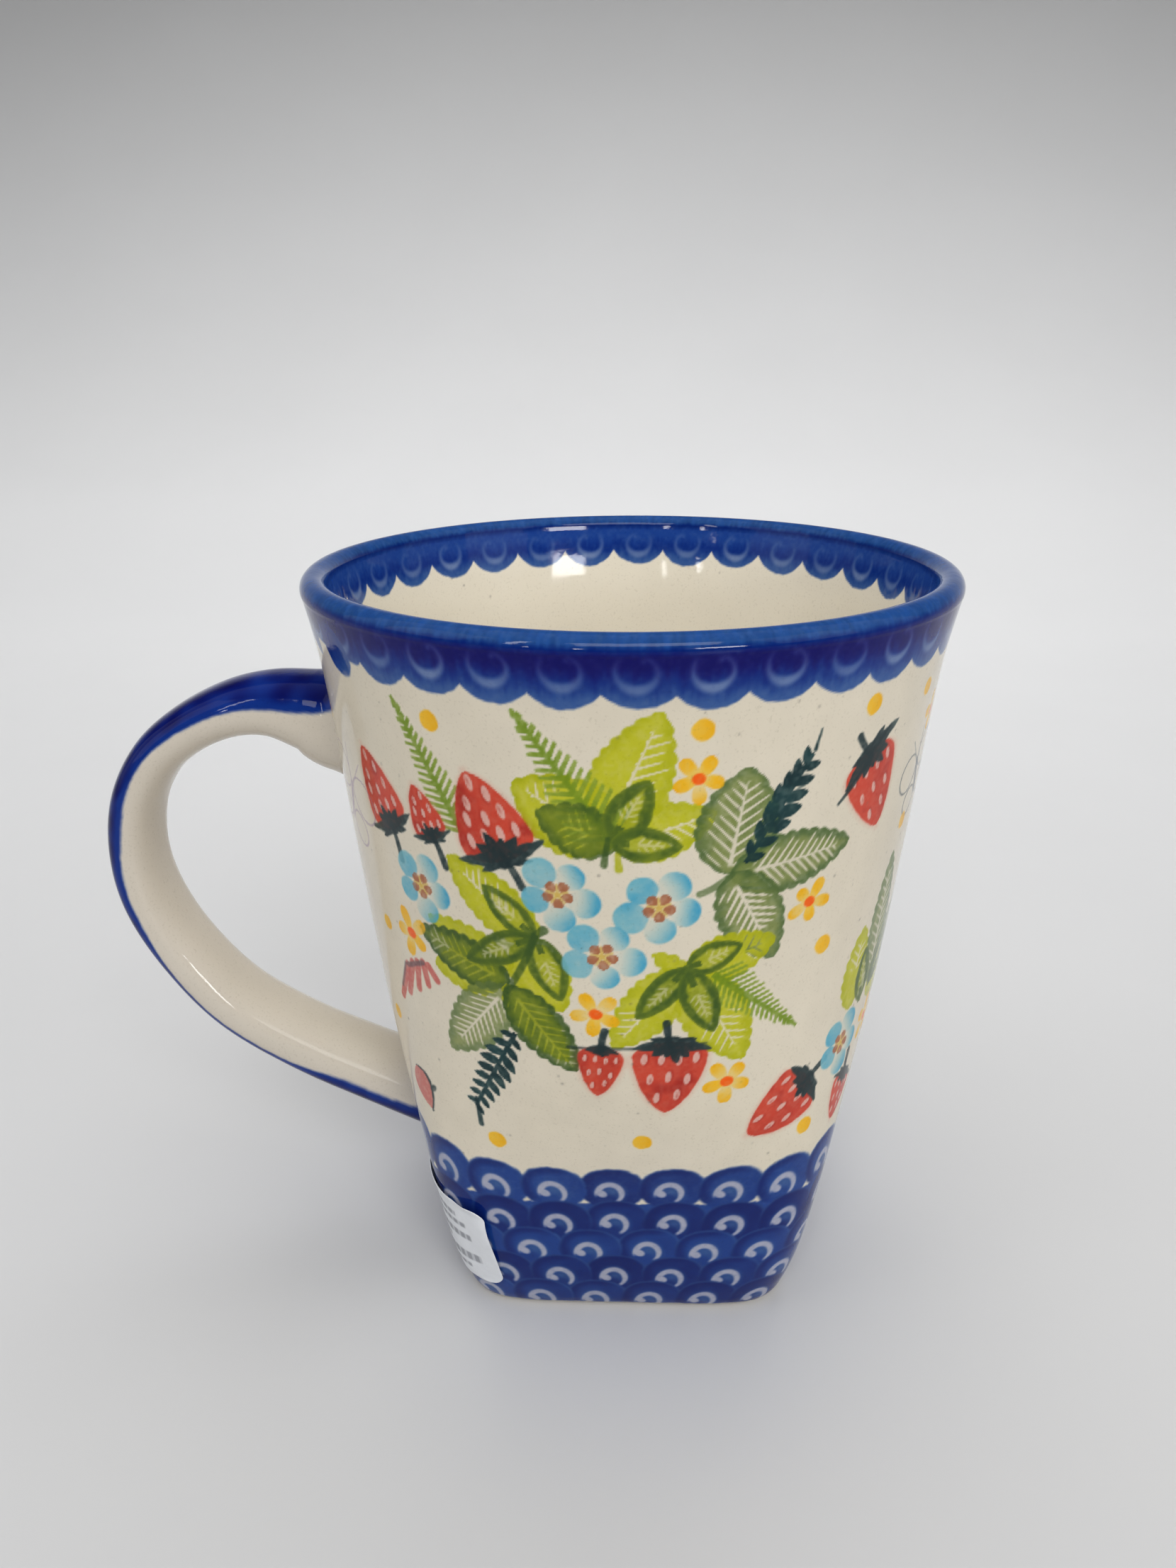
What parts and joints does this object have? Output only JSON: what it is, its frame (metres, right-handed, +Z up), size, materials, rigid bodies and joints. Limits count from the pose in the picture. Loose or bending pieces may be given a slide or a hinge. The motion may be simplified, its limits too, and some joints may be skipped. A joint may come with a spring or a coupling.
{
  "type": "stoneware mug",
  "caption": "Stoneware mug with a squared foot, a round flared lip, a strap handle and a paper price label.",
  "frame": {"origin": "centre of the flat resting face of the foot", "axes": "+Z up along the cup's axis; the handle points along -X and the foot's flat sides face along X and Y"},
  "size_m": [0.1351, 0.098, 0.119],
  "materials": {
    "cup_glaze": "clear gloss glaze over cream stoneware with hand-stamped and painted underglaze folk motifs and cobalt blue bands",
    "handle_glaze": "clear gloss glaze over cream stoneware with a cobalt blue stripe along the outer face",
    "fired_slip": "fired luting slip, matt",
    "label_paper": "coated white label paper with plain grey print bars"
  },
  "bodies": {
    "root": {"cup_body": "cup_glaze", "handle": "handle_glaze", "upper_slip_joint": "fired_slip", "lower_slip_joint": "fired_slip", "price_label": "label_paper"}
  },
  "joints": []
}
